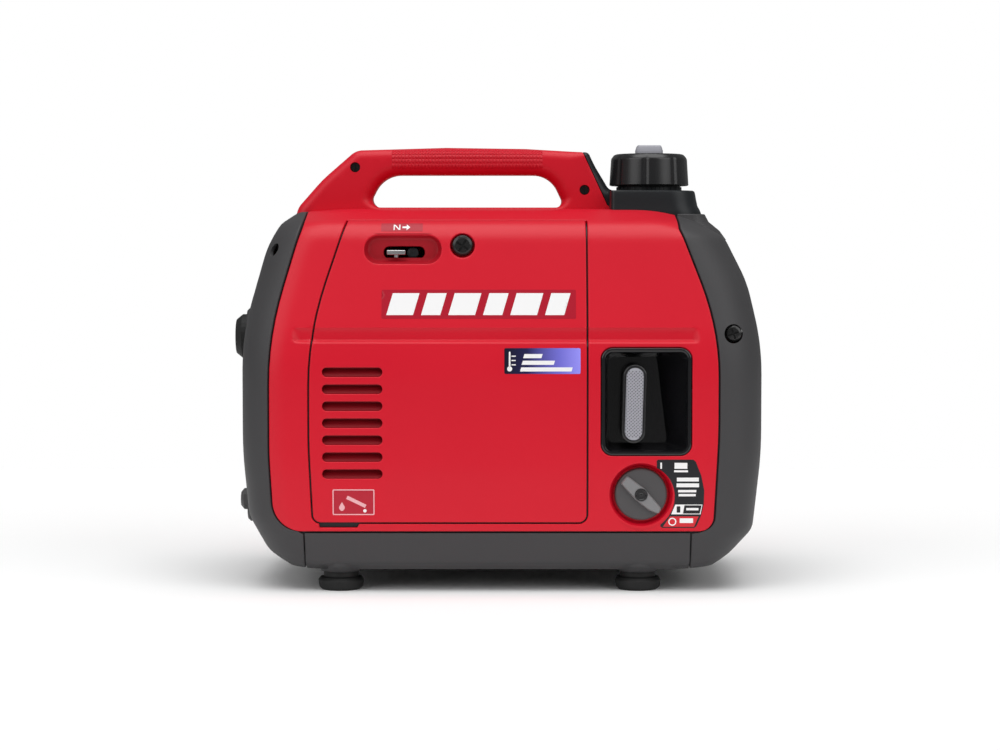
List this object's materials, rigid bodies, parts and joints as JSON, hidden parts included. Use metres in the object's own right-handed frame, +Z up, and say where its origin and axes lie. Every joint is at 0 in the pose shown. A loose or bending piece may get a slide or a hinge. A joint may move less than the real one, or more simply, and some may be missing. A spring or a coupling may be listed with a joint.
{
  "type": "portable generator",
  "caption": "Suitcase inverter generator: moulded case with carry handle, recoil starter, engine switch, choke, screw fuel cap, removable maintenance cover and control panel.",
  "frame": {"origin": "on the ground under the middle of the whole machine", "axes": "+X towards the exhaust end, -X the control end, -Y the starter side, +Z up"},
  "size_m": [0.512, 0.29, 0.425],
  "materials": {
    "red_plastic": "satin moulded",
    "grey_plastic": "fine texture",
    "black_plastic": "fine texture",
    "gloss_black": "gloss",
    "light_grey": "satin",
    "rubber": "matte",
    "steel": "brushed",
    "cast_alloy": "as cast",
    "iron": "machined",
    "copper_steel": "lacquered",
    "orange_plastic": "satin",
    "green_metal": "satin",
    "lens": "gloss"
  },
  "bodies": {
    "case": {"left_side_cover": "red_plastic", "right_side_cover": "red_plastic", "front_cover": "grey_plastic", "rear_cover": "grey_plastic", "under_cover": "grey_plastic", "filler_surround": "black_plastic", "control_panel": "black_plastic", "foot_front_left": "rubber", "foot_front_right": "rubber", "foot_rear_left": "rubber", "foot_rear_right": "rubber", "fuel_tank": "black_plastic", "starter_bezel": "gloss_black", "starter_rope": "rubber", "starter_housing": "black_plastic", "fuel_valve": "cast_alloy", "fuel_hose": "rubber", "front_cover_screw_left": "black_plastic", "front_cover_screw_right": "black_plastic", "rear_cover_screw_left": "black_plastic", "rear_cover_screw_right": "black_plastic", "handle_screw_front": "steel", "handle_screw_rear": "steel", "ac_outlet_left": "black_plastic", "ac_outlet_right": "black_plastic", "locking_outlet": "black_plastic", "parallel_socket_left": "black_plastic", "parallel_socket_right": "black_plastic", "indicator_lens": "lens", "exhaust_outlet": "steel", "muffler": "steel", "crankcase": "cast_alloy", "engine_cylinder": "cast_alloy", "rocker_cover": "cast_alloy", "spark_plug": "steel", "carburettor": "cast_alloy", "air_cleaner": "black_plastic", "stator": "copper_steel", "inverter_unit": "cast_alloy", "engine_mount_front": "rubber", "engine_mount_rear": "rubber"},
    "engine_switch": {"engine_switch_knob": "black_plastic", "engine_switch_pointer": "light_grey", "engine_switch_screw": "black_plastic"},
    "choke": {"choke_lever": "steel"},
    "starter_grip": {"starter_grip": "black_plastic", "starter_grip_insert": "light_grey"},
    "starter_reel": {"starter_reel": "black_plastic"},
    "crank": {"crankshaft": "steel", "flywheel_rotor": "iron"},
    "gasket": {"fuel_cap_gasket": "rubber"},
    "fuel_cap": {"fuel_cap": "gloss_black"},
    "vent_lever": {"vent_lever": "light_grey"},
    "maintenance_cover": {"maintenance_cover": "red_plastic"},
    "cover_screw": {"maintenance_cover_screw": "black_plastic"},
    "eco_switch": {"eco_switch": "light_grey"},
    "breaker": {"breaker_button": "black_plastic"},
    "outlet_cap": {"locking_outlet_cap": "rubber"},
    "ground_nut": {"ground_terminal_nut": "green_metal"},
    "oil_cap": {"oil_filler_cap": "orange_plastic"}
  },
  "joints": [
    {"name": "engine_switch_turn", "type": "hinge", "parent": "case", "child": "engine_switch", "pos_m": [0.1359, -0.1408, 0.0933], "axis": [0, -1, 0], "range_deg": [0, 98]},
    {"name": "choke_slide", "type": "slide", "parent": "case", "child": "choke", "axis": [1, 0, 0], "range_m": [0, 0.016]},
    {"name": "starter_pull", "type": "slide", "parent": "case", "child": "starter_grip", "axis": [0, -1, 0], "range_m": [0, 0.45], "deforming": ["starter_rope"]},
    {"name": "reel_spin", "type": "hinge", "parent": "case", "child": "starter_reel", "pos_m": [0.09, -0.096, 0.14], "axis": [0, 1, 0], "range_deg": [0, 690]},
    {"name": "crank_spin", "type": "hinge", "parent": "case", "child": "crank", "pos_m": [0.09, 0, 0.14], "axis": [0, 1, 0], "continuous": true},
    {"name": "cap_lift", "type": "slide", "parent": "case", "child": "gasket", "axis": [0, 0, 1], "range_m": [0, 0.0065]},
    {"name": "cap_turn", "type": "hinge", "parent": "gasket", "child": "fuel_cap", "pos_m": [0.151, 0, 0.385], "axis": [0, 0, 1], "range_deg": [0, 540]},
    {"name": "vent_lever_turn", "type": "hinge", "parent": "fuel_cap", "child": "vent_lever", "pos_m": [0.151, 0, 0.4168], "axis": [0, 0, 1], "range_deg": [0, 90]},
    {"name": "maintenance_cover_pull", "type": "slide", "parent": "case", "child": "maintenance_cover", "axis": [0, -1, 0], "range_m": [0, 0.1]},
    {"name": "cover_screw_turn", "type": "hinge", "parent": "maintenance_cover", "child": "cover_screw", "pos_m": [-0.0315, -0.1162, 0.326], "axis": [0, -1, 0], "continuous": true},
    {"name": "eco_switch_rock", "type": "hinge", "parent": "case", "child": "eco_switch", "pos_m": [-0.2244, 0.052, 0.2328], "axis": [0, 1, 0], "range_deg": [0, 8]},
    {"name": "breaker_push", "type": "slide", "parent": "case", "child": "breaker", "axis": [1, 0, 0], "range_m": [0, 0.003], "stiffness_N_per_m": 300},
    {"name": "outlet_cap_flip", "type": "hinge", "parent": "case", "child": "outlet_cap", "pos_m": [-0.2404, -0.006, 0.2596], "axis": [0, 1, 0], "range_deg": [0, 95]},
    {"name": "ground_nut_turn", "type": "hinge", "parent": "case", "child": "ground_nut", "pos_m": [-0.2444, -0.02, 0.077], "axis": [1, 0, 0], "continuous": true},
    {"name": "oil_cap_turn", "type": "hinge", "parent": "case", "child": "oil_cap", "pos_m": [0.0347, -0.0065, 0.099], "axis": [1, 0, 0], "range_deg": [0, 360]}
  ],
  "couplings": [
    {"joint": "reel_spin", "follows": "starter_pull", "rad_per_m": 26.316},
    {"joint": "cap_lift", "follows": "cap_turn", "m_per_rad": 0.00063662}
  ]
}
